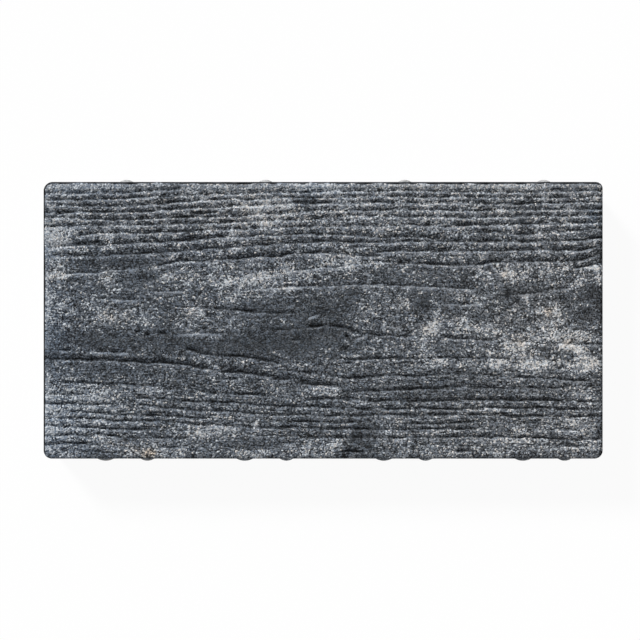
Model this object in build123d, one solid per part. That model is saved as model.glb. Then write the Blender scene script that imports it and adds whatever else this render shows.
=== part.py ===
from build123d import *

import os

# Pressed concrete paving slab, in millimetres.
# The origin is the middle of the bed (z = 0). X runs along the grain, and the face is on top.

# Block
slab_length = 600.0
slab_width = 297.0
slab_thickness = 50.0
corner_radius = 5.0  # the four upright corners
arris_radius = 4.0  # the eased edge round the face

# Wood-grain face: its main furrows, which run along the grain. Each has a gentle slope on the +Y
# side and a steep step on the -Y side. The finer grain between them is left off.
furrow_depth = 3.4
furrow_slope = 6.0  # how far the gentle slope reaches
furrow_step = 2.3  # how far the steep step reaches
furrow_end_fade = 0.3  # share of the depth where a furrow ends on the face
furrow_overcut = 1.0  # how far a furrow's cutter stands clear of the face

# Points along the bottom of each furrow, from the slab's middle, as shares of its length and
# width. A furrow that ends on the face grows shallow there. One that goes past an end of the
# slab is open at that end.
past_end = 0.51
furrows = [
    [(-past_end, 0.413), (-0.25, 0.429), (0.0, 0.444), (0.25, 0.446), (past_end, 0.446)],
    [(-past_end, 0.372), (-0.25, 0.372), (0.0, 0.397), (0.25, 0.397), (past_end, 0.401)],
    [(-0.45, 0.301), (-0.25, 0.320), (0.0, 0.339), (0.25, 0.342), (past_end, 0.352)],
    [(-past_end, 0.234), (-0.25, 0.250), (0.0, 0.284), (0.25, 0.285), (past_end, 0.300)],
    [(-0.47, 0.167), (-0.38, 0.172), (-0.22, 0.208), (-0.04, 0.235), (0.12, 0.222)],
    [(-0.07, 0.179), (0.07, 0.206), (0.25, 0.199), (0.40, 0.212), (past_end, 0.222)],
    [(-0.12, 0.110), (0.0, 0.122), (0.14, 0.123), (0.28, 0.110)],
    [(-0.26, 0.049), (-0.16, 0.036), (-0.04, 0.032)],
    [(-0.11, -0.031), (0.0, -0.020), (0.07, -0.047), (0.21, -0.061), (0.35, -0.079), (past_end, -0.086)],
    [(-past_end, -0.141), (-0.34, -0.148), (-0.20, -0.175)],
    [(-0.48, -0.222), (-0.36, -0.229), (-0.25, -0.256)],
    [(0.02, -0.139), (0.14, -0.137), (0.35, -0.143)],
    [(-0.05, -0.189), (0.03, -0.207), (0.14, -0.200), (0.35, -0.205), (0.48, -0.216)],
    [(-0.34, -0.277), (-0.22, -0.294), (0.08, -0.324), (0.34, -0.318), (past_end, -0.325)],
    [(-past_end, -0.357), (-0.20, -0.378), (0.14, -0.396), (0.28, -0.395)],
    [(-0.15, -0.414), (0.0, -0.423), (0.25, -0.422), (past_end, -0.432)],
]

# Spacers: half-round ribs on the long sides that hold the joint to the next slab open.
# One long side has single ribs. The other has pairs, and a neighbour's single rib sits
# between the two of a pair, so that slabs laid side by side can't slide along the joint.
spacer_reach = 3.0  # how far a rib stands out of the side
spacer_pitch = 150.0  # from one single rib, or one pair, to the next
spacer_shift = 13.0  # the pattern's middle, along X from the slab's middle
pair_spacing = 45.0  # between the two ribs of a pair
single_width = 17.0  # a rib's width where it leaves the side
pair_left_width = 20.0
pair_right_width = 16.5
spacer_drop = 6.0  # from the face down to where a rib begins
spacer_shoulder = 5.0  # height of the slope at a rib's top


def block():
    """The slab without its ribs: rounded corners, an eased edge round the face, a sharp bed."""
    body = extrude(RectangleRounded(slab_length, slab_width, corner_radius), slab_thickness)
    face_edges = body.faces().sort_by(Axis.Z)[-1].edges()
    return fillet(face_edges, arris_radius)


def furrow_section(x, y, fade):
    """A leaning V across the grain, cut down to a share of the full depth."""
    depth = furrow_depth * fade
    widening = fade + furrow_overcut / furrow_depth
    outline = Polygon(
        (0, -depth),
        (furrow_slope * widening, furrow_overcut),
        (-furrow_step * widening, furrow_overcut),
        align=None,
    )
    return Plane((x, y, slab_thickness), x_dir=(0, 1, 0), z_dir=(1, 0, 0)) * outline


def furrow(points):
    """The cutter of one furrow: a smooth loft through its sections."""
    sections = []
    for i, (x, y) in enumerate(points):
        ends_on_face = i in (0, len(points) - 1) and abs(x) < 0.5
        fade = furrow_end_fade if ends_on_face else 1.0
        sections.append(furrow_section(x * slab_length, y * slab_width, fade))
    return loft(sections)


def grain_furrows():
    """The cutters of all the furrows."""
    return [furrow(points) for points in furrows]


def spacer(x, side, width):
    """One rib: a post sunk in the long side at side * Y, so that only a segment of it shows.

    The post ends in a cone, which passes into the side at the rib's top.
    """
    radius = (width**2 / 4 + spacer_reach**2) / (2 * spacer_reach)
    shaft_height = slab_thickness - spacer_drop - spacer_shoulder
    shaft = extrude(Circle(radius), shaft_height)
    cone = Cone(
        radius,
        radius - 2 * spacer_reach,
        2 * spacer_shoulder,
        align=(Align.CENTER, Align.CENTER, Align.MIN),
    )
    axis_y = side * (slab_width / 2 + spacer_reach - radius)
    return Pos(x, axis_y) * (shaft + Pos(Z=shaft_height) * cone)


def spacers():
    """The ribs of both long sides."""
    count = int(slab_length // spacer_pitch)
    ribs = []
    for i in range(count):
        x = spacer_shift + (i - (count - 1) / 2) * spacer_pitch
        ribs.append(spacer(x, 1, single_width))
        ribs.append(spacer(x - pair_spacing / 2, -1, pair_left_width))
        ribs.append(spacer(x + pair_spacing / 2, -1, pair_right_width))
    return ribs


def paving_slab():
    return block() + spacers() - grain_furrows()


if __name__ == "__main__":
    os.makedirs("parts", exist_ok=True)
    export_step(paving_slab(), "parts/paving_slab.step")
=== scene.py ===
import math
from collections import namedtuple

import bpy
import numpy as np
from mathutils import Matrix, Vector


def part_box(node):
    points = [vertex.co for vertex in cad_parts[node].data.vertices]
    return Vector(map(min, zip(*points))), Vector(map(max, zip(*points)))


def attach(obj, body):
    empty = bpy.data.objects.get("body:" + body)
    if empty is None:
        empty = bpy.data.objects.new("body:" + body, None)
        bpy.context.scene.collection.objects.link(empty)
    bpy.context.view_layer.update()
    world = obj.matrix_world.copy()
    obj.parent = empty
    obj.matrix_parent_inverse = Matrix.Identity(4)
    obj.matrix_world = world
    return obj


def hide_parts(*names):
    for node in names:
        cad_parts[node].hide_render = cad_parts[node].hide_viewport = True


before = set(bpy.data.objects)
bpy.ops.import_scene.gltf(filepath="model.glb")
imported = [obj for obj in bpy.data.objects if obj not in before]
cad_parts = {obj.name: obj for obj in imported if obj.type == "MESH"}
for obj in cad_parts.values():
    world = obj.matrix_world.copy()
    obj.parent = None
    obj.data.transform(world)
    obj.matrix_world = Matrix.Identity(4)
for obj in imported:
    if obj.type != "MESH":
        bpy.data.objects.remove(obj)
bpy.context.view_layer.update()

# Lengths are in millimetres until the mesh is written, in the slab's own frame:
# X along the grain, Y across it, Z up, with z = 0 at the bed.
MM = 0.001

# Slab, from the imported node
node_low, node_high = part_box("paving_slab")
RIB_REACH = 3.0
LENGTH = (node_high.x - node_low.x) / MM
WIDTH = (node_high.y - node_low.y) / MM - 2 * RIB_REACH
THICKNESS = (node_high.z - node_low.z) / MM
CORNER_RADII = {(-1, 1): 9.6, (1, 1): 7.2, (-1, -1): 8.8, (1, -1): 8.8}  # as measured in the photo
ARRIS_WIDTH = 4.6
ARRIS_DROP = 3.2
ARRIS_FOOT = 0.4  # from the arris down to the first ring of the sides

# Spacer ribs, as in the part: singles on the +Y side, pairs on the -Y side
RIB_PITCH = 150.0
RIB_COUNT = 4
RIB_SHIFT = 13.0
PAIR_SPACING = 45.0
SINGLE_WIDTH = 17.0
PAIR_LEFT_WIDTH = 20.0
PAIR_RIGHT_WIDTH = 16.5
RIB_DROP = 6.0
RIB_SHOULDER = 5.0

# How deep the dark facing mix reaches down the two long sides, at places along X
NORTH_FACING = [(-300, 5.6), (-212, 5.0), (-62, 5.0), (88, 8.0), (238, 6.4), (300, 6.4)]
SOUTH_FACING = [(-300, 7.6), (-234, 8.2), (-188, 9.4), (-85, 12.0), (300, 12.5)]

# Mesh: fine across the grain, coarse along it
ROW_STEP = 0.92
COLUMN_STEP = 2.75
RIB_STOPS = (-1.1, -0.9, -0.6, -0.3, 0.0, 0.3, 0.6, 0.9, 1.1)
CORNER_STEPS = 4
ARRIS_ANGLES = (20, 38, 54, 72, 90)
SHOULDER_STEPS = 2
WALL_STEPS = 3

# Photograph: the pixel over the slab's middle, and the slab's length in pixels, which is
# seen where the arris meets the sides. The face lies nearer to the camera.
PHOTO_MIDDLE = (323.15, 320.3)
PHOTO_LENGTH = 559.03
PHOTO_SIZE = 640
CAMERA_DISTANCE = 1500.0
EDGE_PIXEL = LENGTH / PHOTO_LENGTH
PIXEL = EDGE_PIXEL * CAMERA_DISTANCE / (CAMERA_DISTANCE + ARRIS_DROP)

# Grain lines, read from the photograph, as points in its pixels.
# A line runs along the bottom of a furrow.
UPPER_GRAIN = [
    [(44, 195.5), (60, 195), (80, 195), (100, 194.3), (120, 194.8), (140, 193), (160, 191.8),
     (185, 190.5)],
    [(44, 201.5), (60, 201.5), (100, 201), (130, 200), (140, 199), (160, 198), (180, 196.8), (200, 196.3),
     (220, 195.5), (240, 195), (260, 194.5), (280, 193.6), (300, 194.3), (330, 193), (360, 192.5),
     (380, 193), (400, 191.5), (420, 192.5), (440, 193), (480, 194), (500, 193.5), (540, 193.5),
     (560, 192.5), (602, 192.5)],
    [(52, 207.5), (80, 207), (100, 207.5), (120, 208), (140, 207), (150, 205.8), (160, 205.6),
     (180, 203.2), (200, 202), (220, 201.5), (240, 201), (260, 200.8), (280, 200), (300, 199.5),
     (320, 199), (360, 198.5), (380, 198), (400, 198.5), (420, 199), (440, 198.3), (480, 198.5),
     (500, 199), (540, 199.2), (580, 199), (602, 198.5)],
    [(44, 215), (60, 214.5), (80, 213.5), (100, 214), (120, 213.5), (140, 213.5), (150, 213),
     (160, 211.5), (180, 210.2), (200, 209.8), (220, 208.5), (240, 207.5), (260, 206.8), (280, 206),
     (300, 205), (320, 204.8), (360, 204.5), (380, 203.5), (400, 204.5), (420, 205.5), (440, 204.2),
     (460, 204.5), (480, 205), (500, 205.5), (520, 205.5), (540, 204.5), (560, 205), (580, 204),
     (602, 204)],
    [(44, 218.8), (80, 219.8), (100, 221), (120, 221.3), (140, 220.8), (160, 220), (180, 219.3),
     (200, 218.5), (220, 217.5), (240, 217.3), (260, 216.5), (280, 215.5), (300, 213.5), (320, 212),
     (360, 212.2), (380, 211.3), (400, 210.8), (420, 212), (440, 211.5), (480, 212.5), (500, 211),
     (540, 211.5), (580, 211), (602, 211)],
    [(44, 228.5), (60, 228.2), (80, 227.5), (100, 226.8), (120, 226.5), (160, 226.3), (180, 225.6),
     (200, 225), (220, 224.5), (240, 223.5), (260, 222.8), (280, 221.8), (300, 221.5), (320, 221),
     (340, 221.5), (358, 222)],
    [(318, 219), (340, 217.8), (380, 218), (440, 218), (460, 219), (480, 218.8), (500, 218), (540, 217.5),
     (580, 217), (602, 217)],
    [(72, 238.5), (90, 235.5), (100, 234.7), (120, 234.5), (140, 234.8), (160, 234), (180, 233.5),
     (200, 232.5), (213, 231.5), (240, 230.8), (260, 230), (280, 229.5), (300, 228.5), (320, 228),
     (380, 228), (400, 226.3), (430, 226.5), (445, 228.2), (460, 227.5), (480, 227), (500, 226),
     (540, 225), (580, 224.5), (602, 224.5)],
    [(44, 249.3), (60, 248.5), (80, 246.8), (100, 246.3), (120, 245.5), (140, 243.8), (160, 243.5),
     (180, 243), (200, 240.5), (220, 239), (240, 238.5), (260, 237.8), (280, 236.3), (300, 235.5),
     (340, 236), (360, 237.5), (380, 239), (400, 238.5), (420, 239), (440, 240), (455, 241.5)],
    [(462, 236), (480, 234.5), (500, 234), (512, 236), (530, 235.5), (560, 233.3), (580, 232),
     (602, 230.3)],
    [(50, 257.3), (80, 257.5), (100, 257.7), (120, 256.5), (140, 255.3), (160, 254.5), (180, 253),
     (200, 251), (220, 249.5), (240, 248), (260, 246.8), (280, 245.5), (300, 244.8), (320, 243.3),
     (335, 243), (350, 244), (380, 244), (400, 243), (440, 242.8), (480, 243.2), (520, 243.3),
     (560, 242.5), (580, 242), (602, 239)],
    [(158, 265.8), (180, 262.5), (200, 262.7), (220, 261), (240, 260.5), (260, 258.3), (280, 258.4),
     (290, 256), (300, 254.7), (325, 254.3), (340, 255.5), (350, 256.8), (370, 257), (388, 258.5)],
    [(372, 255), (390, 253.2), (400, 252.5), (440, 253.3), (460, 252.5), (500, 252.5), (540, 251.5),
     (580, 252), (590, 250), (600, 247.8)],
    [(372, 263.8), (400, 264.5), (420, 266), (460, 267), (480, 266), (500, 264), (520, 262.8),
     (560, 263.5), (570, 262.5), (580, 261.5), (590, 259.5), (600, 256.5)],
    [(572, 271), (580, 269.6), (586, 268.2), (592, 267), (599, 266.6)],
]

MIDDLE_STEPS = [
    [(62, 275.5), (80, 274.3), (98, 274.5), (106, 272), (120, 271), (140, 270.3)],
    [(282, 273), (295, 272.8), (302, 272), (320, 269.5), (335, 269.3), (350, 267), (360, 265.5),
     (374, 264)],
    [(255, 291), (280, 289.5), (297, 288.5), (320, 287.5), (360, 286), (380, 286.3), (400, 287.3),
     (420, 287.7), (440, 289), (460, 290), (478, 291)],
    [(146, 293), (165, 293), (187, 293.3)],
    [(98, 301), (120, 300.8), (143, 302)],
    [(178, 335), (200, 335), (226, 335.5)],
    [(56, 351), (66, 350.7), (75, 351)],
    [(84, 353), (98, 353.3), (112, 353.8), (131, 354)],
    [(512, 296.5), (530, 295), (545, 292.5), (560, 290.5), (575, 289)],
    [(440, 305), (465, 306.5), (480, 305.5), (490, 302.5)],
    [(306, 320.5), (312, 318), (320, 314.5)],
    [(353, 341.5), (360, 338.5), (367, 335.5)],
]

RIGHT_CRACK = [
    (358, 332.8), (380, 334), (400, 335.5), (440, 336), (455, 337), (470, 338.5), (483, 338.7),
    (500, 339), (520, 341), (540, 342.5), (560, 343), (580, 343.7), (602, 343),
]
CRACKS = [
    [(226, 308.5), (232, 309), (245, 310.8), (257, 310.5), (264, 311.2)],
    [(304, 326.8), (312, 325.6), (322, 324.2), (330, 325)],
    [(329, 324.3), (337, 325.2), (345, 327), (352, 330), (361, 332.6), (370, 334.5)],
    RIGHT_CRACK[3:8],
    [(395, 400), (430, 400.2), (460, 398.8), (480, 399), (500, 398.5), (520, 399.5), (545, 399.2)],
    [(184, 347.5), (195, 350), (200, 352), (210, 354), (225, 355.5), (240, 355), (250, 356.5), (260, 359),
     (272, 361), (284, 364)],
    [(336, 357.5), (355, 358.8), (370, 357.8), (385, 357.8), (400, 357), (410, 357)],
]
FAINT_CRACKS = [
    [(98, 329), (110, 329.4), (125, 329)],
    [(286, 293.5), (300, 292.5), (318, 294)],
    [(176, 305.3), (190, 306.3), (205, 307.3), (220, 308), (232, 309)],
    [(258, 310.6), (270, 312), (285, 311.8), (302, 310.5)],
    [(262, 328.6), (280, 328.8), (304, 327)],
    [(288, 340), (307, 337.8)],
    RIGHT_CRACK[:4],
    RIGHT_CRACK[7:],
    [(400, 357), (430, 357), (460, 357.3), (490, 357), (517, 358.7)],
]

LEDGES = [
    [(44, 358), (60, 358.5), (68, 357.7), (80, 358.5), (100, 358.5), (120, 359.5), (133, 360),
     (150, 361.8), (165, 361.8), (180, 363.2), (190, 363.7), (200, 366.5), (212, 367)],
    [(220, 370.5), (240, 371), (255, 373), (262, 374), (272, 377), (285, 378), (297, 377)],
    [(298, 381), (312, 383), (330, 384.5), (347, 386.3)],
]

PITS = [
    [(48, 212.3), (58, 212.8), (72, 211.6)],
    [(45, 216.4), (54, 216.6), (64, 215.6)],
    [(174, 215.6), (183, 216.2), (193, 215.2)],
    [(188, 212.2), (202, 212.8), (216, 211.6)],
    [(92, 241.4), (97, 242), (102, 241)],
    [(190, 236), (195, 236.6), (200, 235.4)],
    [(109, 352), (122, 352.2)],
    [(56, 349.5), (74, 349.3)],
    [(343, 336), (352, 336)],
    [(347, 327.4), (353, 329.6), (358, 331.4), (364, 333)],
    [(185, 347.6), (191, 349), (199, 351)],
    [(571, 341.8), (577, 341.8)],
    [(333, 324.8), (340, 325.6), (346, 327), (352, 329.5), (361, 332.3), (366, 334)],
    [(229, 308.6), (243, 310.2), (259, 310.6)],
    [(200, 328.2), (208, 328.2)],
    [(344, 362.4), (355, 362.6)],
    [(343, 348.5), (349, 348.5)],
    [(134, 331), (143, 331)],
    [(144, 334), (151, 334)],
    [(157, 332), (168, 332)],
    [(226, 370), (238, 370)],
]

LOWER_GRAIN = [
    [(298, 371.5), (318, 371.7), (328, 374), (340, 376.5), (360, 377.5), (372, 375.5), (385, 374.5),
     (400, 374.5), (412, 375.7), (433, 373.5), (460, 373), (480, 373.5), (500, 374.5), (520, 376),
     (545, 377.8), (570, 379), (592, 379)],
    [(348, 391), (375, 390), (395, 388.8), (420, 388.3), (440, 387), (460, 385.8), (480, 386), (500, 387),
     (530, 387.3), (555, 387.3), (579, 385.6)],
    [(218, 377), (242, 378)],
    [(58, 380.7), (80, 381.5), (90, 382.5), (110, 383), (130, 383.3), (145, 384.5), (160, 385.7),
     (178, 389.5)],
    [(44, 393.7), (60, 393), (75, 392.5), (92, 394)],
    [(196, 391), (226, 392.5), (240, 393.5), (257, 394.3), (280, 395)],
    [(132, 395.8), (155, 397.5), (175, 398.8), (200, 400.5), (220, 402), (240, 402.7), (262, 404.3),
     (280, 405.3), (300, 405.5), (320, 406), (345, 406.5), (365, 409), (385, 408.3), (410, 407.7),
     (430, 407.3), (450, 408.3), (480, 408), (498, 406.5), (515, 407.3), (540, 407), (560, 408),
     (602, 409.3)],
    [(304, 399.2), (322, 398), (340, 397.5), (358, 398), (372, 400.5), (385, 399.7), (400, 400),
     (430, 400.2), (460, 398.8), (480, 399), (500, 398.5), (520, 399.5), (535, 398.8), (560, 400),
     (580, 400.5), (602, 402)],
    [(44, 402.5), (60, 403.2), (85, 403.8), (97, 404), (110, 403), (122, 402.3)],
    [(138, 404), (158, 406), (175, 407.5), (195, 408.8), (215, 409.7), (240, 411.5), (258, 413),
     (275, 414.3), (290, 414.2), (304, 413.5), (320, 415.3), (340, 415.3), (368, 414.5), (390, 413.3),
     (420, 414.7), (445, 413.5), (465, 413.8), (485, 413), (505, 415.3), (525, 415.5), (545, 414.8),
     (565, 416), (602, 415.5)],
    [(66, 411), (85, 411.5), (105, 412.8), (130, 413.8), (155, 414.7), (170, 415), (190, 416.7),
     (213, 417.5)],
    [(44, 418), (75, 417), (100, 418.5), (115, 420), (135, 419.3), (155, 420.3), (185, 422.3), (210, 424),
     (240, 425), (262, 426.5), (290, 426.5), (320, 427.8), (350, 427.5), (375, 429), (400, 428.8),
     (430, 428.5), (460, 428), (482, 428.5)],
    [(266, 420.3), (300, 420.7), (330, 421.5), (362, 420.5)],
    [(404, 423.2), (430, 422.3), (455, 422), (478, 420.8)],
    [(516, 422), (535, 422.5), (552, 422)],
    [(44, 425), (62, 426.2), (80, 425.5), (105, 427.5), (122, 428), (140, 428.3), (160, 428)],
    [(550, 428), (566, 428.7), (582, 428.3)],
    [(44, 435.3), (70, 433.8), (90, 434.3), (110, 434.5), (125, 436.3), (145, 436), (165, 437.3),
     (188, 438.7)],
    [(238, 434), (262, 434.5), (285, 435.5), (300, 436.3), (345, 436.5), (375, 436.3), (400, 436.8),
     (430, 437), (460, 435.7), (482, 436.5), (505, 436), (530, 436.3), (560, 438), (580, 439),
     (602, 439)],
    [(44, 444.3), (62, 442.3), (80, 443), (100, 444.3), (120, 444.2)],
    [(156, 445.3), (172, 447), (188, 446.2)],
    [(280, 442.3), (298, 442.5)],
    [(430, 443.8), (456, 444.2)],
    [(558, 444.7), (584, 445.2)],
    [(90, 451), (120, 451.3)],
    [(338, 450), (368, 450.8)],
    [(450, 450.3), (474, 450.7)],
]

# Blotches where the face is paler or darker: middle and half size in pixels, strength
PALE_BLOTCHES = [
    (52, 205, 10, 4, 0.6), (50, 225, 12, 6, 0.7), (57, 240, 11, 8, 1.0), (50, 218, 8, 4, 0.5),
    (47, 311, 8, 12, 0.4), (55, 274, 13, 6, 1.0), (47, 295, 8, 6, 0.6), (66, 306, 6, 5, 0.35),
    (107, 274, 5, 9, 0.6), (110, 247, 6, 4, 0.7), (107, 230, 4, 8, 0.4), (178, 240, 4, 11, 0.5),
    (171, 257, 6, 8, 0.4), (46, 190, 14, 9, 0.4), (95, 237, 12, 3, 0.5), (113, 318, 12, 7, 0.7),
    (130, 311, 10, 3, 0.4), (140, 320, 10, 5, 0.35), (193, 313, 8, 7, 0.9), (165, 278, 6, 5, 0.7),
    (187, 277, 8, 5, 0.5), (225, 281, 14, 4, 0.9), (247, 279, 14, 3.5, 0.8), (268, 276, 13, 4, 0.8),
    (283, 272, 6, 4, 0.9), (290, 287, 12, 4, 0.6), (305, 273, 10, 5, 0.5), (195, 285, 14, 4, 0.6),
    (212, 231, 8, 4, 0.7), (232, 234, 6, 5, 0.6), (235, 249, 7, 4, 0.6), (245, 207, 9, 3, 0.8),
    (270, 206, 14, 4, 0.7), (285, 203, 10, 6, 0.7), (258, 218, 8, 6, 0.7), (272, 225, 6, 4, 0.5),
    (205, 201, 10, 4, 0.5), (210, 194, 10, 4, 0.4), (240, 295, 6, 4, 0.5), (230, 300, 4, 8, 0.3),
    (188, 263, 14, 3, 0.4), (130, 225, 12, 4, 0.4), (65, 195, 8, 4, 0.4), (100, 186, 9, 4, 0.5),
    (330, 190, 16, 6, 1.0), (300, 187, 8, 4, 0.8), (397, 185, 7, 5, 0.7), (420, 186, 7, 5, 0.8),
    (478, 186, 8, 4, 0.7), (505, 187, 14, 4, 0.9), (525, 186, 8, 4, 0.7), (425, 205, 9, 5, 0.8),
    (437, 217, 12, 3, 0.4), (412, 212, 10, 3, 0.4), (497, 211, 6, 4, 0.6), (537, 198, 10, 5, 0.5),
    (550, 197, 14, 4, 0.4), (330, 212, 12, 4, 0.6), (352, 215, 10, 5, 0.5), (572, 224, 7, 4, 0.7),
    (566, 233, 7, 3, 0.5), (350, 265, 8, 4, 0.6), (375, 264, 10, 3, 0.5), (345, 258, 10, 5, 0.5),
    (510, 273.5, 11, 4, 1.1), (548, 271, 18, 3.5, 0.7), (525, 276, 10, 4, 0.4), (585, 280, 8, 6, 0.5),
    (575, 284, 8, 4, 0.4), (595, 267, 10, 3, 0.6), (400, 305, 10, 5, 0.7), (375, 312, 14, 6, 0.3),
    (488, 285, 7, 4, 0.4), (480, 303, 10, 5, 0.4), (510, 315, 12, 5, 0.5), (558, 312, 6, 9, 1.1),
    (545, 320, 8, 8, 0.7), (470, 327, 14, 5, 0.8), (492, 330, 12, 5, 0.6), (575, 335, 22, 5, 0.9),
    (462, 319, 6, 4, 1.1), (597, 338, 6, 5, 0.6), (522, 350, 4, 10, 1.0), (432, 327, 8, 7, 1.3),
    (45, 384, 6, 5, 0.8), (75, 388, 10, 4, 0.5), (50, 397, 12, 3, 0.7), (78, 397, 8, 4, 0.8),
    (101, 395, 8, 5, 0.7), (48, 408, 12, 4, 0.7), (55, 415, 14, 4, 0.5), (48, 425, 14, 4, 0.6),
    (48, 432, 14, 6, 1.0), (45, 447, 10, 4, 0.7), (75, 453, 14, 4, 0.2), (95, 423, 12, 4, 0.4),
    (108, 418, 8, 6, 0.4), (103, 440, 8, 6, 0.4), (150, 390, 8, 4, 0.5), (200, 395, 10, 3, 0.5),
    (215, 395, 5, 3, 0.5), (170, 393, 5, 3, 0.4), (203, 435, 8, 3, 0.7), (213, 431, 16, 5, 0.4),
    (193, 425, 6, 4, 0.45), (195, 333, 10, 4, 0.5), (195, 355, 8, 3, 0.5), (100, 353, 10, 3, 0.5),
    (80, 348, 12, 4, 0.3), (228, 328, 12, 4, 0.35), (298, 365, 12, 4, 0.6), (240, 362, 16, 4, 0.4),
    (315, 390, 12, 5, 0.7), (332, 391, 7, 5, 0.7), (300, 452, 12, 8, 0.5), (307, 447, 8, 6, 0.6),
    (332, 448, 10, 7, 0.8), (260, 453, 14, 3, 0.5), (165, 453, 20, 4, 0.5), (130, 450, 8, 5, 0.4),
    (150, 452, 9, 5, 0.45), (437, 361, 10, 5, 0.8), (415, 366, 8, 4, 0.4), (463, 365, 8, 4, 0.6),
    (424, 345, 5, 9, 0.8), (495, 364, 14, 5, 0.9), (530, 365, 10, 6, 1.5), (547, 364, 10, 4, 1.2),
    (513, 341, 8, 7, 0.5), (520, 346, 8, 4, 0.7), (530, 338, 10, 6, 0.4), (567, 345, 10, 4, 1.5),
    (577, 349, 8, 5, 1.4), (583, 356, 5, 4, 0.6), (553, 333, 8, 6, 0.4), (585, 366, 12, 7, 1.5),
    (597, 364, 8, 4, 0.5), (537, 354, 8, 4, 0.6), (494, 352, 6, 4, 0.9), (548, 338, 12, 4, 0.7),
    (593, 395, 8, 5, 0.6), (575, 394, 8, 3, 0.4), (486, 410, 20, 3, 0.8), (360, 403, 10, 5, 0.5),
    (565, 420, 22, 3.5, 0.7), (572, 428, 14, 6, 0.4), (522, 431, 8, 5, 0.6), (512, 422, 8, 5, 0.35),
    (556, 449, 26, 2.5, 0.7), (515, 441, 26, 2.5, 0.65), (495, 450, 10, 8, 0.4), (455, 453, 9, 2, 0.9),
    (495, 453.5, 12, 2, 0.7), (435, 447, 10, 3, 0.4), (245, 453, 14, 3, 0.6), (380, 441, 6, 4, 0.5),
    (393, 433, 10, 3, 0.4), (430, 434, 8, 3, 0.3), (593, 443, 10, 4, 0.4), (590, 450, 6, 4, 0.3),
    (600, 271, 4, 6, 1.5), (600, 281, 3, 5, 1.2),
]
DARK_BLOTCHES = [
    (358, 434, 5, 6, 0.9), (211, 289, 6, 3, 0.5), (420, 304, 10, 7, 0.8), (350, 455, 18, 6, 0.5),
    (592, 290, 12, 10, 0.4), (188, 243, 4, 10, 0.5), (75, 340, 30, 12, 0.3), (120, 346, 30, 6, 0.3),
    (588, 312, 9, 6, 0.5), (545, 355, 12, 8, 0.4), (572, 357, 8, 6, 0.4), (590, 294, 14, 10, 0.3),
    (582, 318, 16, 9, 0.3), (505, 290, 14, 6, 0.4), (540, 292, 20, 4, 0.2), (470, 345, 30, 7, 0.2),
    (84, 241, 10, 3, 0.5), (98, 241, 5, 3, 0.5), (95, 370, 9, 4, 0.5), (345, 349, 5, 3, 0.8),
    (508, 293, 6, 3, 0.6), (448, 353, 5, 4, 0.6), (350, 362.6, 3, 2, 1.0), (104, 456, 16, 5, 0.5),
    (125, 262, 22, 5, 0.45), (85, 263, 22, 5, 0.4), (140, 277, 18, 4, 0.5), (120, 336, 50, 9, 0.2),
    (265, 342, 45, 8, 0.25), (172, 340, 10, 4, 0.3), (305, 203, 8, 6, 0.5), (190, 349, 7, 4, 0.5),
    (540, 291, 7, 3, 0.5), (565, 300, 16, 4, 0.4), (305, 262, 16, 4, 0.4), (260, 309, 30, 5, 0.3),
    (390, 283, 20, 4, 0.3),
]

# Wide areas that are paler (above 0) or darker (below 0) on the whole
BROAD_PATCHES = [
    (75, 415, 45, 38, 0.4), (50, 245, 22, 32, 0.4), (255, 212, 36, 22, 0.45), (120, 225, 60, 30, 0.12),
    (450, 215, 160, 25, 0.12), (345, 260, 20, 12, 0.25), (260, 280, 55, 12, 0.15),
    (520, 335, 75, 32, 0.12), (520, 435, 70, 20, 0.1), (225, 430, 45, 16, 0.25),
    (120, 258, 50, 12, -0.35), (140, 350, 90, 22, -0.22), (330, 312, 22, 14, -0.2),
    (250, 444, 28, 6, -0.4), (290, 300, 35, 9, -0.15), (345, 300, 18, 14, -0.15),
    (215, 344, 35, 7, -0.15), (270, 345, 55, 35, -0.3), (318, 325, 40, 32, -0.33),
    (440, 390, 90, 12, -0.3), (360, 435, 14, 25, -0.4), (592, 300, 12, 22, -0.2),
    (300, 222, 330, 44, 0.12), (172, 195, 12, 8, -0.4), (310, 205, 12, 14, -0.35),
    (400, 275, 60, 10, -0.2), (110, 370, 40, 8, -0.25), (320, 197, 340, 13, 0.22),
    (592, 198, 12, 12, 0.4), (505, 316, 60, 14, -0.25), (50, 230, 12, 16, -0.25),
]

# Areas where the face is smooth, with little contrast
CALM_PATCHES = [
    (95, 341, 35, 9, 0.9), (160, 340, 25, 10, 0.7), (50, 340, 8, 15, 0.6), (85, 288, 24, 11, 0.6),
    (128, 288, 18, 11, 0.6), (165, 303, 22, 8, 0.5), (170, 325, 25, 8, 0.4), (220, 345, 40, 8, 0.8),
    (265, 305, 30, 9, 0.6), (295, 330, 50, 20, 0.8), (290, 350, 40, 14, 0.7), (345, 300, 22, 16, 0.5),
    (345, 340, 25, 20, 0.4), (420, 290, 28, 14, 0.7), (420, 304, 12, 8, 0.5), (400, 275, 45, 7, 0.5),
    (500, 290, 22, 8, 0.5), (585, 295, 18, 14, 0.7), (585, 318, 16, 10, 0.4), (440, 345, 25, 8, 0.3),
    (470, 347, 30, 7, 0.3), (130, 262, 55, 6, 0.6), (115, 372, 60, 6, 0.4), (60, 440, 16, 10, 0.3),
    (360, 440, 16, 18, 0.6), (430, 390, 90, 6, 0.3), (250, 443, 30, 8, 0.5), (200, 445, 40, 8, 0.3),
]

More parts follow.
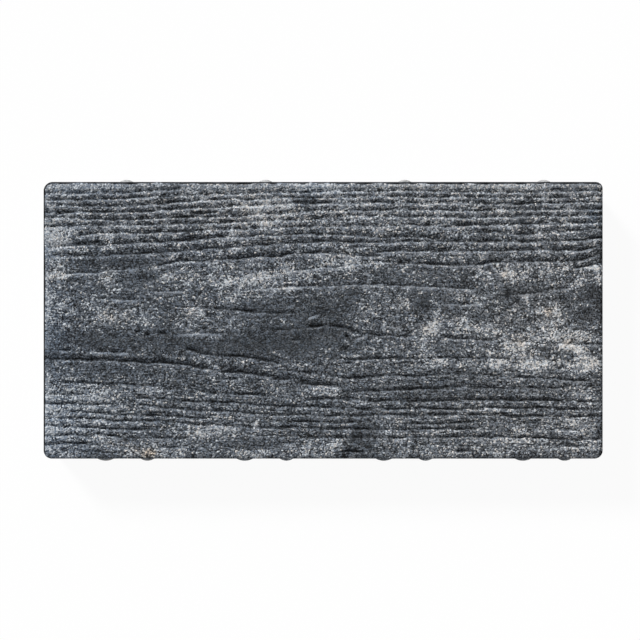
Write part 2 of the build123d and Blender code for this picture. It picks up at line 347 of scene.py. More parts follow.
# Areas where the mix is warmer (above 0), as at the rust-brown stain by a rib, or bluer (below 0)
WARM_PATCHES = [
    (149, 453, 10, 6, 1.2), (133, 451, 7, 5, 0.7), (52, 425, 38, 38, -0.7), (50, 335, 18, 48, -0.55),
    (46, 253, 10, 8, -0.5), (594, 218, 8, 9, -0.8), (60, 190, 30, 6, -0.3), (318, 189, 26, 6, -0.8),
    (190, 215, 110, 20, 0.3), (108, 187, 20, 4, -0.3), (58, 241, 5, 5, 0.5), (165, 278, 6, 5, 0.5),
    (114, 318, 13, 8, 0.7), (55, 274, 10, 6, 0.6), (107, 275, 6, 9, 0.5), (193, 313, 7, 6, 0.6),
    (246, 210, 6, 8, 0.5), (268, 222, 6, 5, 0.4), (388, 230, 6, 5, 0.5), (345, 250, 5, 5, 0.5),
    (507, 274, 8, 6, 0.8), (428, 328, 8, 6, 0.7), (400, 305, 7, 4, 0.6), (458, 321, 5, 4, 0.5),
    (548, 312, 10, 10, 0.7), (520, 345, 7, 12, 0.6), (570, 343, 12, 6, 0.7), (592, 365, 5, 7, 0.7),
    (232, 265, 6, 5, 0.4), (264, 277, 6, 6, 0.4), (285, 290, 8, 4, 0.4), (497, 212, 6, 4, 0.5),
    (540, 320, 60, 45, 0.25), (470, 420, 140, 40, 0.12),
]

# Profile of each family of lines: depth, how far it reaches to the +Y and the -Y side, how far its
# bottom lies to the +Y side of the line, how much it is broken up along its length, and how strong
# the painted highlight on its ridge is. The ridge is on the -Y side, facing the light. A family
# without a highlight takes the painted highlight off the ridges that it crosses.
Profile = namedtuple("Profile", "depth north south shift breaks crest")
LINE_FAMILIES = [
    (UPPER_GRAIN, Profile(depth=3.4, north=6.0, south=2.3, shift=1.9, breaks=0.3, crest=1.0)),
    (MIDDLE_STEPS, Profile(depth=1.3, north=4.0, south=1.6, shift=2.0, breaks=0.1, crest=1.7)),
    (CRACKS, Profile(depth=3.4, north=4.2, south=1.9, shift=-1.3, breaks=0.22, crest=0.5)),
    (FAINT_CRACKS, Profile(depth=2.1, north=3.0, south=1.8, shift=-1.0, breaks=0.34, crest=0.4)),
    (LEDGES, Profile(depth=3.8, north=6.6, south=2.3, shift=-1.4, breaks=0.06, crest=0.5)),
    (LOWER_GRAIN, Profile(depth=3.2, north=3.6, south=2.0, shift=-1.3, breaks=0.34, crest=0.5)),
    (PITS, Profile(depth=3.6, north=3.6, south=2.2, shift=-0.6, breaks=0.1, crest=0.0)),
]

# Every line: how it wanders and breaks up, as heights and lengths of waves, how it ends, and the reach of
# its painted highlight and painted shade
WANDER_WAVES = [(0.5, 12.0), (0.45, 6.6)]
BREAK_WAVES = [(0.7, 17.0), (0.6, 6.5)]
BEAD_LENGTH = 5.6
LINE_TAPER = 8.0
LINE_PAST_END = 100.0  # how far a line at an end of the slab is carried on, so that it doesn't taper
END_MARGIN = 3.0
HIGHLIGHT_RISE = 1.3
HIGHLIGHT_FALL = 3.4
SHADE_SHARE = 0.65  # of the +Y reach, where the bottom and its wall get painted shade
FULL_SHADE_DEPTH = 1.8

# Lines that the fine grain follows, in order down the face
FLOW_LINES = [
    UPPER_GRAIN[1], UPPER_GRAIN[4], UPPER_GRAIN[10], UPPER_GRAIN[13], MIDDLE_STEPS[2], RIGHT_CRACK,
    LEDGES[0], LOWER_GRAIN[6], LOWER_GRAIN[9], LOWER_GRAIN[18],
]

# How far in from its edges the face gets painted light, or painted shade at one end
LIT_EDGE_REACH = 7.0
SHADED_END_REACH = 6.0

# Concrete's patterns: grit is drawn out a little along X, and streaks a lot
PATTERN_TURN = (0.5, 0.4, 0.7)
GRIT_STRETCH = (0.62, 1.0, 1.0)
STREAK_STRETCH = 0.17
LOWER_THIRD = (-0.03, -0.07)  # Y, in metres, over which the streaks grow stronger

# Studio, in metres and degrees
FLOOR_HALF_SIZE = 4.0
FLOOR_GAP = 0.0002
FLOOR_WHITE = 0.94  # how much of the floor's look is plain white, the rest being paper with the shadow
FILL_LIGHT = 0.33
KEY_LIGHT = 4.2
KEY_ANGLE = 12
KEY_TILT = -60
KEY_TURN = 40

SEED = 7

FACE_MARKS = ("furrow", "crest", "pale_and_lit", "warm", "calm")


def smooth_step(t):
    t = np.clip(t, 0.0, 1.0)
    return t * t * (3.0 - 2.0 * t)


def value_noise(x, y, cell_x, cell_y, seed):
    """Seeded noise from -1 to 1 on cells of that size."""
    u = (x + LENGTH) / cell_x
    v = (y + LENGTH) / cell_y
    lattice = np.random.default_rng(seed).uniform(-1.0, 1.0, (int(u.max()) + 2, int(v.max()) + 2))
    i = u.astype(int)
    j = v.astype(int)
    s = smooth_step(u - i)
    t = smooth_step(v - j)
    low = lattice[i, j] * (1 - s) + lattice[i + 1, j] * s
    high = lattice[i, j + 1] * (1 - s) + lattice[i + 1, j + 1] * s
    return low * (1 - t) + high * t


def on_face(points):
    """Photograph pixels as X and Y on the slab's face."""
    px, py = np.array(points, float).T
    return (px - PHOTO_MIDDLE[0]) * PIXEL, (PHOTO_MIDDLE[1] - py) * PIXEL


class Relief:
    """The face's relief and its marks at the points x, y."""

    def __init__(self, x, y):
        self.x = x
        self.y = y
        self.cut = np.zeros_like(x)
        self.furrow = np.zeros_like(x)
        self.crest = np.zeros_like(x)
        self.pale_and_lit = np.zeros_like(x)
        self.warm = np.zeros_like(x)
        self.calm = np.zeros_like(x)
        self.flow = self.flow_height()
        self.bent_x = x + 3.5 * value_noise(x, y, 11.0, 9.0, SEED + 5)
        self.bent_y = y + 2.0 * value_noise(x, y, 10.0, 8.0, SEED + 6)
        lines = [(points, profile) for family, profile in LINE_FAMILIES for points in family]
        for number, (points, profile) in enumerate(lines):
            self.furrow_along(points, profile, SEED + 10 * number)
        self.blotches(self.pale_and_lit, PALE_BLOTCHES + BROAD_PATCHES)
        self.blotches(self.pale_and_lit, DARK_BLOTCHES, sign=-1)
        self.blotches(self.warm, WARM_PATCHES)
        self.blotches(self.calm, CALM_PATCHES)
        self.lit_and_shaded_edges()
        self.fine_grain()

    def flow_height(self):
        """A height that stays the same along the grain, in place of y."""
        heights = []
        levels = []
        for points in FLOW_LINES:
            px, py = on_face(points)
            heights.append(np.interp(self.x, px, py))
            levels.append(py.mean())
        heights.append(np.full_like(self.x, -WIDTH))
        levels.append(-WIDTH)
        heights.insert(0, np.full_like(self.x, WIDTH))
        levels.insert(0, WIDTH)
        flow = np.zeros_like(self.x)
        for k in range(len(levels) - 1):
            share = (heights[k] - self.y) / (heights[k] - heights[k + 1])
            inside = (share >= 0) & (share < 1)
            flow[inside] = (levels[k] + share * (levels[k + 1] - levels[k]))[inside]
        return flow

    def wave(self, length, seed):
        """Seeded noise along X alone."""
        return value_noise(self.x, np.zeros_like(self.x), length, 1.0, seed)

    def furrow_along(self, points, profile, seed):
        """One line: its cut, painted shade over its bottom and the wall that faces away from the light,
        and a painted highlight along the ridge that faces the light.
        """
        px, py = on_face(points)
        start = px[0] - (LINE_PAST_END if px[0] < -LENGTH / 2 + END_MARGIN else 0.0)
        end = px[-1] + (LINE_PAST_END if px[-1] > LENGTH / 2 - END_MARGIN else 0.0)
        taper = min(LINE_TAPER, 0.3 * (px[-1] - px[0]))
        fade = smooth_step((self.x - start) / taper) * smooth_step((end - self.x) / taper)
        line = np.interp(self.x, px, py) + profile.shift
        for number, (height, length) in enumerate(WANDER_WAVES):
            line = line + height * self.wave(length, seed + number)
        breaking = np.zeros_like(self.x)
        for number, (height, length) in enumerate(BREAK_WAVES):
            breaking = breaking + height * self.wave(length, seed + 2 + number)
        fade = fade * np.clip(1 - profile.breaks + profile.breaks * breaking, 0, 1)

        below = line - self.y
        upper_wall = np.where(below <= 0, np.clip(1 + below / profile.north, 0, 1) ** 1.5, 0)
        lower_wall = np.where(below > 0, smooth_step(1 - below / profile.south), 0)
        shape = (upper_wall + lower_wall) * fade
        self.cut = np.maximum(self.cut, profile.depth * shape)
        # Painted shade over the bottom and the +Y wall, which faces away from the light, fading up the -Y
        # wall.
        furrow_shade_reach = SHADE_SHARE * profile.north
        furrow_shade = np.where(below <= 0, np.clip(1 + below / furrow_shade_reach, 0, 1), lower_wall)
        self.furrow = np.maximum(self.furrow, furrow_shade * fade * min(1.0, profile.depth / FULL_SHADE_DEPTH))

        # Painted highlight along the ridge at the -Y side, whose wall faces the light. A line without one
        # takes the highlight off what it cuts.
        if profile.crest == 0:
            self.crest *= 1 - np.clip(1.3 * shape, 0, 1)
        crest_highlight = smooth_step(below / HIGHLIGHT_RISE) * np.clip(1 - (below - HIGHLIGHT_RISE) / HIGHLIGHT_FALL, 0, 1)
        beads = 0.75 + 0.5 * self.wave(BEAD_LENGTH, seed + 4)
        self.crest = np.maximum(self.crest, crest_highlight * beads * fade * profile.crest)

    def blotches(self, field, patches, sign=1):
        """Soft, ragged ellipses, added to a mark."""
        for px, py, half_x, half_y, strength in patches:
            (x,), (y,) = on_face([(px, py)])
            along = (self.bent_x - x) / (half_x * PIXEL)
            across = (self.bent_y - y) / (half_y * PIXEL)
            spread = along**2 + across**2
            near = spread < 9
            field[near] += sign * strength * np.exp(-spread[near])

    def lit_and_shaded_edges(self):
        """Painted light along the long edge at +Y and the end at -X, which face the light, and painted
        shade at the end at +X, which faces away from it.
        """
        side = np.exp(-(((WIDTH / 2 - self.y) / LIT_EDGE_REACH) ** 2))
        lit_end = np.exp(-(((LENGTH / 2 + self.x) / LIT_EDGE_REACH) ** 2))
        shaded_end = np.exp(-(((LENGTH / 2 - self.x) / SHADED_END_REACH) ** 2))
        self.furrow = np.maximum(self.furrow, 0.75 * shaded_end)
        self.crest += 1.2 * side
        self.crest += 0.7 * lit_end
        # Painted light also pales the mix along the +Y edge, which faces the light.
        self.pale_and_lit += 0.25 * side

    def fine_grain(self):
        """Streaks, waves and dents. All of it lies under the solid's face."""
        streak = value_noise(self.x, self.flow, 40.0, 1.7, SEED + 1)
        bend = 20.0 * value_noise(self.x, self.y, 50.0, 12.0, SEED + 4)
        wave = value_noise(self.x + bend, self.flow, 47.0, 8.0, SEED + 2)
        self.calm = np.clip(self.calm - np.clip(self.pale_and_lit, 0, 1), 0, 1)
        dents = value_noise(self.x, self.y, 7.0, 3.2, SEED + 3) * (1 - 0.6 * self.calm)
        self.cut = np.maximum(self.cut + 0.8 + 0.2 * streak + 0.4 * wave + 0.4 * dents, 0.0)
        self.pale_and_lit = np.clip(self.pale_and_lit, -1.0, 1.5)


def rib_list():
    """Middle, side and width of each spacer rib."""
    ribs = []
    for i in range(RIB_COUNT):
        x = RIB_SHIFT + (i - (RIB_COUNT - 1) / 2) * RIB_PITCH
        ribs.append((x, 1, SINGLE_WIDTH))
        ribs.append((x - PAIR_SPACING / 2, -1, PAIR_LEFT_WIDTH))
        ribs.append((x + PAIR_SPACING / 2, -1, PAIR_RIGHT_WIDTH))
    return ribs


def rib_bulge(x, side, z):
    """How far the ribs stand out of the long side at height z."""
    bulge = np.zeros_like(x)
    slope = np.clip((z - (THICKNESS - RIB_DROP - RIB_SHOULDER)) / RIB_SHOULDER, 0, 1)
    for middle, rib_side, width in rib_list():
        radius = (width**2 / 4 + RIB_REACH**2) / (2 * RIB_REACH)
        shrunk = radius - RIB_REACH * slope
        out = np.sqrt(np.clip(shrunk**2 - (x - middle) ** 2, 0, None)) - (radius - RIB_REACH)
        bulge = np.where(side == rib_side, np.maximum(bulge, out), bulge)
    return bulge


def facing_depth(x, y):
    """How deep the facing mix reaches down the sides. The ends pass from one long side to the other."""
    north = np.interp(x, *np.array(NORTH_FACING, float).T)
    south = np.interp(x, *np.array(SOUTH_FACING, float).T)
    share = np.clip(y / WIDTH + 0.5, 0, 1)
    return south + share * (north - south)


def corner_radius(x, y):
    """The radius of the corner nearest to each point."""
    radius = np.zeros_like(x)
    for (side_x, side_y), value in CORNER_RADII.items():
        radius[(x * side_x >= 0) & (y * side_y >= 0)] = value
    return radius


def spaced(stops, step):
    """Positions through all the stops, no further apart than step."""
    positions = []
    for low, high in zip(stops, stops[1:]):
        count = max(1, math.ceil((high - low) / step - 1e-6))
        positions.extend(np.linspace(low, high, count, endpoint=False))
    positions.append(stops[-1])
    return np.array(positions)


def grid_lines():
    """Columns and rows of the face, which ends where the arris begins."""
    inner = max(CORNER_RADII.values()) - ARRIS_WIDTH
    corner = [inner * k / CORNER_STEPS for k in range(CORNER_STEPS + 1)]
    half_x = LENGTH / 2 - ARRIS_WIDTH
    half_y = WIDTH / 2 - ARRIS_WIDTH
    x_stops = [-half_x + c for c in corner] + [half_x - c for c in corner]
    for middle, _, width in rib_list():
        x_stops += [middle + stop * width / 2 for stop in RIB_STOPS]
    y_stops = [-half_y + c for c in corner] + [half_y - c for c in corner]
    return spaced(sorted(x_stops), COLUMN_STEP), spaced(sorted(y_stops), ROW_STEP)


def round_corners(x, y):
    """The grid's square corners drawn in to the round ones."""
    radius = corner_radius(x, y)
    inner = radius - ARRIS_WIDTH
    centre_x = LENGTH / 2 - radius
    centre_y = WIDTH / 2 - radius
    u = np.clip((np.abs(x) - centre_x) / inner, 0, 1)
    v = np.clip((np.abs(y) - centre_y) / inner, 0, 1)
    new_x = np.where(u > 0, np.sign(x) * (centre_x + inner * u * np.sqrt(1 - v**2 / 2)), x)
    new_y = np.where(v > 0, np.sign(y) * (centre_y + inner * v * np.sqrt(1 - u**2 / 2)), y)
    return new_x, new_y


def outward_of(edge):
    """The direction straight out of the slab at each point of the face's edge."""
    radius = corner_radius(edge[:, 0], edge[:, 1])
    core = np.column_stack([LENGTH / 2 - radius, WIDTH / 2 - radius])
    outward = edge[:, :2] - np.clip(edge[:, :2], -core, core)
    return outward / np.linalg.norm(outward, axis=1)[:, None]


def edge_line(edge, outward):
    """How strong the dark line along the arris is: strongest at +Y, and uneven along its length."""
    toward_x = outward[:, 0] * np.where(outward[:, 0] > 0, 0.5, 0.25)
    strength = np.clip(0.6 - toward_x + 0.6 * outward[:, 1], 0, 1)
    dashes = value_noise(edge[:, 0], edge[:, 1], 6.5, 30.0, SEED + 7)
    dashes = dashes + 0.5 * value_noise(edge[:, 0], edge[:, 1], 14.0, 30.0, SEED + 8)
    return strength * (1.0 + 0.2 * dashes - np.clip(outward[:, 1], 0, 1) * (0.03 - 0.25 * dashes))


def ring_list(edge_cut):
    """Each ring below the face: how far out it lies, its height, and its share of arris and of wall."""
    rings = []
    for angle in ARRIS_ANGLES:
        turn = math.radians(angle)
        level = THICKNESS - ARRIS_DROP * (1 - math.cos(turn)) - edge_cut * math.cos(turn) ** 0.5
        rings.append((ARRIS_WIDTH * math.sin(turn), level, angle / 90, 0.0))
    rib_top = THICKNESS - RIB_DROP
    rib_full = rib_top - RIB_SHOULDER
    walls = [THICKNESS - ARRIS_DROP - ARRIS_FOOT]
    walls += list(np.linspace(rib_top, rib_full, SHOULDER_STEPS + 1))
    walls += list(np.linspace(rib_full, 0.0, WALL_STEPS + 1))[1:]
    for level in walls:
        rings.append((ARRIS_WIDTH, np.full(len(edge_cut), level), 0.0, 1.0))
    return rings


def build_slab():
    """The face as a grid, with rings down its arris and sides and one flat bed."""
    columns, rows = grid_lines()
    x, y = round_corners(*np.meshgrid(columns, rows))
    relief = Relief(x, y)
    face = np.stack([x, y, THICKNESS - relief.cut], -1).reshape(-1, 3)
    index = np.arange(x.size).reshape(x.shape)
    verts = [face]
    quads = [np.stack([index[:-1, :-1], index[:-1, 1:], index[1:, 1:], index[1:, :-1]], -1).reshape(-1, 4)]
    marks = {name: [getattr(relief, name).ravel()] for name in FACE_MARKS + ("flow",)}
    for name in ("rim", "wall", "facing"):
        marks[name] = [np.zeros(x.size)]

    loop = np.concatenate([index[0, :-1], index[:-1, -1], index[-1, :0:-1], index[:0:-1, 0]])
    edge = face[loop]
    outward = outward_of(edge)
    side = np.where(np.abs(outward[:, 1]) > 0.999, np.sign(outward[:, 1]), 0)
    dark_line = edge_line(edge, outward)
    # How much each arris point faces away from the light, for its painted shade.
    shaded = np.clip(0.55 * outward[:, 0] - 0.2 * outward[:, 1], 0, 1)
    facing = facing_depth(edge[:, 0], edge[:, 1] + outward[:, 1] * ARRIS_WIDTH)
    last = loop
    count = x.size
    for reach, level, rim, wall in ring_list(relief.cut.ravel()[loop]):
        ring = np.arange(count, count + len(loop))
        count += len(loop)
        place = edge[:, :2] + outward * reach
        bulge = wall * rib_bulge(place[:, 0], side, level)
        place = place + outward * bulge[:, None]
        verts.append(np.column_stack([place, level]))
        quads.append(np.stack([last, ring, np.roll(ring, -1), np.roll(last, -1)], -1))
        last = ring
        for name in FACE_MARKS:
            marks[name].append(marks[name][0][loop] * (1 - wall) * (1 - 0.5 * rim))
        # Painted shade on the arris rings that face away from the light, towards +X and -Y.
        marks["furrow"][-1] = np.maximum(marks["furrow"][-1], shaded * min(1.0, 4 * rim))
        # Painted light on the arris at -Y, though it faces away from the light, and on the ribs' bulges.
        marks["crest"][-1] += 0.4 * np.clip(-outward[:, 1], 0, 1) * rim
        marks["crest"][-1] += 0.6 * (bulge > 0)
        marks["flow"].append(marks["flow"][0][loop])
        marks["rim"].append(rim * dark_line)
        marks["wall"].append(np.full(len(loop), wall))
        marks["facing"].append(facing)
    return slab_object(np.concatenate(verts), np.concatenate(quads), last, marks)


def slab_object(verts, quads, bed, marks):
    """The mesh with its marks, shaded smooth but for the edge round the bed."""
    mesh = bpy.data.meshes.new("slab")
    mesh.from_pydata((verts * MM).tolist(), [], quads.tolist() + [bed[::-1].tolist()])
    mesh.shade_smooth()
    sharp = mesh.attributes.new("sharp_edge", "BOOLEAN", "EDGE")
    bed_corners = set(bed.tolist())
    sharp.data.foreach_set("value", [set(e.vertices) <= bed_corners for e in mesh.edges])
    for name, parts in marks.items():
        attribute = mesh.attributes.new(name, "FLOAT", "POINT")
        scale = MM if name in ("flow", "facing") else 1.0
        attribute.data.foreach_set("value", np.concatenate(parts) * scale)
    mesh.update()
    slab = bpy.data.objects.new("slab", mesh)
    bpy.context.scene.collection.objects.link(slab)
    return slab


def noise(tree, vector, scale, detail=2.0, roughness=0.5):
    node = tree.nodes.new("ShaderNodeTexNoise")
    node.inputs["Scale"].default_value = scale
    node.inputs["Detail"].default_value = detail
    node.inputs["Roughness"].default_value = roughness
    tree.links.new(vector, node.inputs["Vector"])
    return node.outputs["Fac"]


def mark(tree, name):
    node = tree.nodes.new("ShaderNodeAttribute")
    node.attribute_name = name
    return node.outputs["Fac"]


def turned(tree, vector, scale=(1.0, 1.0, 1.0)):
    """The vector stretched and turned, so that a pattern doesn't line up with the axes."""
    node = tree.nodes.new("ShaderNodeMapping")
    node.inputs["Scale"].default_value = scale
    node.inputs["Rotation"].default_value = PATTERN_TURN
    tree.links.new(vector, node.inputs["Vector"])
    return node.outputs["Vector"]


def weighted_sum(tree, start, terms):
    """start plus each socket times its weight."""
    total = None
    for socket, weight in terms:
        node = tree.nodes.new("ShaderNodeMath")
        node.operation = "MULTIPLY_ADD"
        tree.links.new(socket, node.inputs[0])
        node.inputs[1].default_value = weight
        if total is None:
            node.inputs[2].default_value = start
        else:
            tree.links.new(total, node.inputs[2])
        total = node.outputs[0]
    return total


def product(tree, first, second):
    node = tree.nodes.new("ShaderNodeMath")
    node.operation = "MULTIPLY"
    tree.links.new(first, node.inputs[0])
    tree.links.new(second, node.inputs[1])
    return node.outputs[0]


def stretch(tree, socket, low, high):
    """0 at low, 1 at high, smooth between them."""
    node = tree.nodes.new("ShaderNodeMapRange")
    node.interpolation_type = "SMOOTHSTEP"
    node.inputs["From Min"].default_value = low
    node.inputs["From Max"].default_value = high
    tree.links.new(socket, node.inputs["Value"])
    return node.outputs["Result"]


def ramp(tree, socket, stops):
    node = tree.nodes.new("ShaderNodeValToRGB")
    elements = node.color_ramp.elements
    while len(elements) < len(stops):
        elements.new(1.0)
    for element, (position, colour) in zip(elements, stops):
        element.position = position
        element.color = (*colour, 1.0)
    tree.links.new(socket, node.inputs["Fac"])
    return node.outputs["Color"]


def mixed(tree, factor, first, second):
    node = tree.nodes.new("ShaderNodeMix")
    node.data_type = "RGBA"
    tree.links.new(factor, node.inputs[0])
    for place, colour in ((6, first), (7, second)):
        if isinstance(colour, tuple):
            node.inputs[place].default_value = (*colour, 1.0)
        else:
            tree.links.new(colour, node.inputs[place])
    return node.outputs[2]


def multiplied(tree, first, second):
    node = tree.nodes.new("ShaderNodeMix")
    node.data_type = "RGBA"
    node.blend_type = "MULTIPLY"
    node.inputs[0].default_value = 1.0
    tree.links.new(first, node.inputs[6])
    tree.links.new(second, node.inputs[7])
    return node.outputs[2]


class Patterns:
    """The marks and noises that the concrete's colours and bump share."""

    def __init__(self, tree):
        for name in FACE_MARKS + ("flow", "rim", "wall", "facing"):
            setattr(self, name, mark(tree, name))
        place = tree.nodes.new("ShaderNodeTexCoord").outputs["Object"]
        split = tree.nodes.new("ShaderNodeSeparateXYZ")
        tree.links.new(place, split.inputs[0])
        self.x = split.outputs["X"]
        self.z = split.outputs["Z"]
        self.place = turned(tree, place)
        drawn_out = turned(tree, place, GRIT_STRETCH)
        grain_place = tree.nodes.new("ShaderNodeCombineXYZ")
        tree.links.new(weighted_sum(tree, 0.0, [(self.x, STREAK_STRETCH)]), grain_place.inputs["X"])
        tree.links.new(self.flow, grain_place.inputs["Y"])

        sand = tree.nodes.new("ShaderNodeTexVoronoi")
        sand.inputs["Scale"].default_value = 690.0
        tree.links.new(self.place, sand.inputs["Vector"])
        shade = tree.nodes.new("ShaderNodeSeparateColor")
        tree.links.new(sand.outputs["Color"], shade.inputs[0])
        self.sand_distance = sand.outputs["Distance"]
        self.sand_shade = shade.outputs["Red"]
        self.sand_chance = shade.outputs["Green"]
        self.sand_warmth = shade.outputs["Blue"]
        self.grit = noise(tree, drawn_out, 720.0, 1.5, 0.6)
        self.cluster = noise(tree, drawn_out, 180.0, 2.0, 0.55)
        self.cloud = noise(tree, self.place, 40.0, 2.0, 0.5)
        self.streak = noise(tree, grain_place.outputs[0], 560.0, 2.0, 0.6)
        self.lower = stretch(tree, split.outputs["Y"], *LOWER_THIRD)
        streak_over_cluster = weighted_sum(tree, 0.0, [(self.streak, 1.0), (self.cluster, -1.0)])
        self.drawn_streak = product(tree, streak_over_cluster, self.lower)


def facing_mix(tree, p):
    """Dark mix of the face: smooth in the calm areas, darkest with painted shade in the furrows and on the
    edges that face away from the light, with ragged edges, and paler with painted highlights on the
    crests, the lit edges and the ribs.
    """
    texture = weighted_sum(tree, -2.225, [
        (p.grit, 0.8),
        (p.cluster, 0.6),
        (p.cloud, 0.6),
        (p.streak, 1.15),
        (p.sand_shade, 1.3),
        (p.drawn_streak, 0.5),
    ])
    lively = weighted_sum(tree, 0.8, [(p.calm, -0.32), (p.pale_and_lit, 0.1)])
    # Painted shade in the furrows and on the edges facing away from the light, with a ragged edge, and
    # painted highlights on the crests, the lit edges and the ribs, all go into the tone.
    ragged_furrow = weighted_sum(tree, -0.65, [(p.furrow, 1.0), (p.streak, 0.7), (p.grit, 0.6)])
    tone = weighted_sum(tree, 0.522, [
        (p.calm, 0.03),
        (product(tree, texture, lively), 1.0),
        (p.pale_and_lit, 0.31),
        (p.crest, 0.6),
        (p.furrow, -0.26),
        (stretch(tree, ragged_furrow, 0.45, 0.8), -0.22),
    ])
    colour = ramp(tree, tone, [
        (0.0, (0.018, 0.0195, 0.022)),
        (0.3, (0.049, 0.0545, 0.062)),
        (0.6, (0.098, 0.112, 0.133)),
        (1.0, (0.225, 0.25, 0.29)),
    ])
    hue = weighted_sum(tree, 0.131, [(p.sand_warmth, 0.4), (p.x, 0.26), (p.warm, 0.3)])
    tint = ramp(tree, hue, [
        (0.0, (0.84, 0.92, 1.0)),
        (0.5, (1.0, 0.945, 0.87)),
        (1.0, (1.0, 0.88, 0.76)),
    ])
    return multiplied(tree, colour, tint)


def with_pale_grains(tree, p, facing):
    """Pale sand grains in clumps over the facing mix, and rust-brown over both where it is warmest."""
    density = weighted_sum(tree, -1.549, [
        (p.sand_chance, 1.05),
        (p.grit, 0.3),
        (p.streak, 0.45),
        (p.drawn_streak, 0.5),
        (p.cluster, 1.1),
        (p.cloud, 0.4),
        (p.pale_and_lit, 0.5),
        (p.calm, -0.07),
        (p.lower, -0.025),
        # Fewer pale grains under the painted shade, a few more under the painted highlights.
        (p.crest, 0.05),
        (p.furrow, -0.3),
    ])
    warmth = weighted_sum(tree, 0.0, [(p.sand_warmth, 1.0), (p.x, 0.4), (p.warm, 0.45)])
    colour = mixed(tree, stretch(tree, warmth, 0.6, 0.85), (0.61, 0.65, 0.695), (0.79, 0.76, 0.73))
    shade = ramp(tree, p.sand_shade, [(0.0, (0.54, 0.54, 0.54)), (1.0, (1.0, 1.0, 1.0))])
    face = mixed(tree, stretch(tree, density, 0.46, 0.58), facing, multiplied(tree, colour, shade))
    rust = ramp(tree, p.warm, [(0.6, (1.0, 1.0, 1.0)), (1.0, (1.0, 0.9, 0.8))])
    return multiplied(tree, face, rust)


def base_concrete(tree, p):
    """Plain concrete of the sides and the bed, with pores."""
    tone = weighted_sum(tree, -0.35, [(p.grit, 0.7), (p.cluster, 0.5), (p.cloud, 0.5)])
    colour = ramp(tree, tone, [
        (0.2, (0.25, 0.25, 0.252)),
        (0.5, (0.40, 0.40, 0.404)),
        (0.85, (0.55, 0.55, 0.556)),
    ])
    pores = stretch(tree, noise(tree, p.place, 430.0, 2.0, 0.5), 0.36, 0.3)
    return mixed(tree, pores, colour, (0.08, 0.08, 0.081))


def below_facing(tree, p):
    """1 on the sides where the facing mix ends, in a ragged line, and the plain concrete shows."""
    above_base = weighted_sum(tree, -THICKNESS * MM - 0.0075, [
        (p.z, 1.0),
        (p.facing, 1.0),
        (p.cloud, 0.007),
        (p.cluster, 0.005),
        (p.grit, 0.003),
    ])
    return product(tree, p.wall, stretch(tree, above_base, 0.0005, -0.0005))


def with_dark_edge(tree, p, colour):
    """Dark, broken line along the arris."""
    ragged_rim = weighted_sum(tree, -0.12, [(p.rim, 1.0), (p.grit, 0.12), (p.cluster, 0.12)])
    rim_colour = ramp(tree, p.cluster, [(0.4, (0.008, 0.009, 0.01)), (0.7, (0.055, 0.058, 0.065))])
    return mixed(tree, stretch(tree, ragged_rim, 0.3, 0.4), colour, rim_colour)


def sand_bump(tree, p):
    height = weighted_sum(tree, 0.0, [
        (p.sand_distance, -0.6),
        (p.grit, 0.45),
        (noise(tree, p.place, 1100.0, 2.0, 0.6), 0.4),
        (p.cluster, 0.25),
        (p.streak, 0.6),
    ])
    bump = tree.nodes.new("ShaderNodeBump")
    bump.inputs["Strength"].default_value = 0.9
    bump.inputs["Distance"].default_value = 0.0014
    tree.links.new(height, bump.inputs["Height"])
    return bump.outputs["Normal"]


def concrete():
    material = bpy.data.materials.new("concrete")
    material.use_nodes = True
    tree = material.node_tree
    shader = tree.nodes["Principled BSDF"]
    patterns = Patterns(tree)
    face = with_pale_grains(tree, patterns, facing_mix(tree, patterns))
    colour = mixed(tree, below_facing(tree, patterns), face, base_concrete(tree, patterns))
    tree.links.new(with_dark_edge(tree, patterns, colour), shader.inputs["Base Color"])
    tree.links.new(sand_bump(tree, patterns), shader.inputs["Normal"])
    shader.inputs["Roughness"].default_value = 0.95
    shader.inputs["Specular IOR Level"].default_value = 0.04
    return material


def seen_rays(tree):
    """1 for rays that show the background: straight to the camera, mirrored or through glass."""
    rays = tree.nodes.new("ShaderNodeLightPath")
    seen = rays.outputs["Is Camera Ray"]
    for name in ("Is Glossy Ray", "Is Transmission Ray"):
        either = tree.nodes.new("ShaderNodeMath")
        either.operation = "MAXIMUM"
        tree.links.new(seen, either.inputs[0])
        tree.links.new(rays.outputs[name], either.inputs[1])
        seen = either.outputs[0]
    return seen


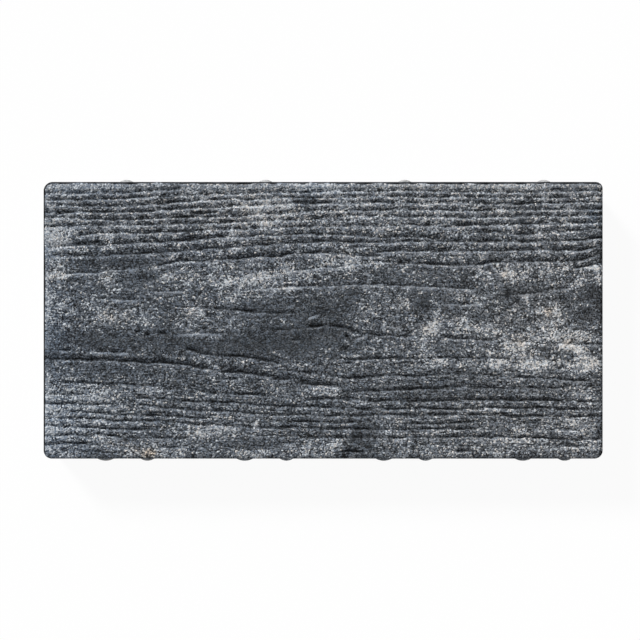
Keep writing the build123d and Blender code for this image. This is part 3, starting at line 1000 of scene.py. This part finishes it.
def floor_material():
    material = bpy.data.materials.new("floor")
    material.use_nodes = True
    tree = material.node_tree
    tree.nodes.clear()
    paper = tree.nodes.new("ShaderNodeBsdfDiffuse")
    paper.inputs["Color"].default_value = (0.9, 0.9, 0.9, 1.0)
    white = tree.nodes.new("ShaderNodeEmission")
    white.inputs["Strength"].default_value = 1.0
    share = weighted_sum(tree, 0.0, [(seen_rays(tree), FLOOR_WHITE)])
    mix = tree.nodes.new("ShaderNodeMixShader")
    tree.links.new(share, mix.inputs[0])
    tree.links.new(paper.outputs[0], mix.inputs[1])
    tree.links.new(white.outputs[0], mix.inputs[2])
    output = tree.nodes.new("ShaderNodeOutputMaterial")
    tree.links.new(mix.outputs[0], output.inputs["Surface"])
    return material


def build_floor():
    corners = [(-1, -1), (1, -1), (1, 1), (-1, 1)]
    verts = [(FLOOR_HALF_SIZE * x, FLOOR_HALF_SIZE * y, 0) for x, y in corners]
    mesh = bpy.data.meshes.new("floor")
    mesh.from_pydata(verts, [], [(0, 1, 2, 3)])
    floor = bpy.data.objects.new("floor", mesh)
    floor.location.z = -FLOOR_GAP
    floor.data.materials.append(floor_material())
    bpy.context.scene.collection.objects.link(floor)


def build_light():
    world = bpy.data.worlds.new("studio")
    world.use_nodes = True
    bpy.context.scene.world = world
    tree = world.node_tree
    background = tree.nodes["Background"]
    strength = weighted_sum(tree, FILL_LIGHT, [(seen_rays(tree), 1.0 - FILL_LIGHT)])
    background.inputs["Color"].default_value = (1.0, 1.0, 1.0, 1.0)
    tree.links.new(strength, background.inputs["Strength"])

    lamp = bpy.data.lights.new("key", "SUN")
    lamp.energy = KEY_LIGHT
    lamp.angle = math.radians(KEY_ANGLE)
    key = bpy.data.objects.new("key", lamp)
    key.rotation_euler = (math.radians(KEY_TILT), 0, math.radians(KEY_TURN))
    bpy.context.scene.collection.objects.link(key)


def build_camera():
    lens = bpy.data.cameras.new("camera")
    lens.sensor_width = 36.0
    lens.lens = lens.sensor_width * CAMERA_DISTANCE / (PHOTO_SIZE * PIXEL)
    camera = bpy.data.objects.new("camera", lens)
    (x,), (y,) = on_face([(PHOTO_SIZE / 2, PHOTO_SIZE / 2)])
    camera.location = (x * MM, y * MM, (THICKNESS + CAMERA_DISTANCE) * MM)
    bpy.context.scene.collection.objects.link(camera)
    bpy.context.scene.camera = camera


slab = build_slab()
slab.data.materials.append(concrete())
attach(slab, "root")
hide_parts("paving_slab")
build_floor()
build_light()
build_camera()
bpy.context.scene.view_settings.view_transform = "Standard"
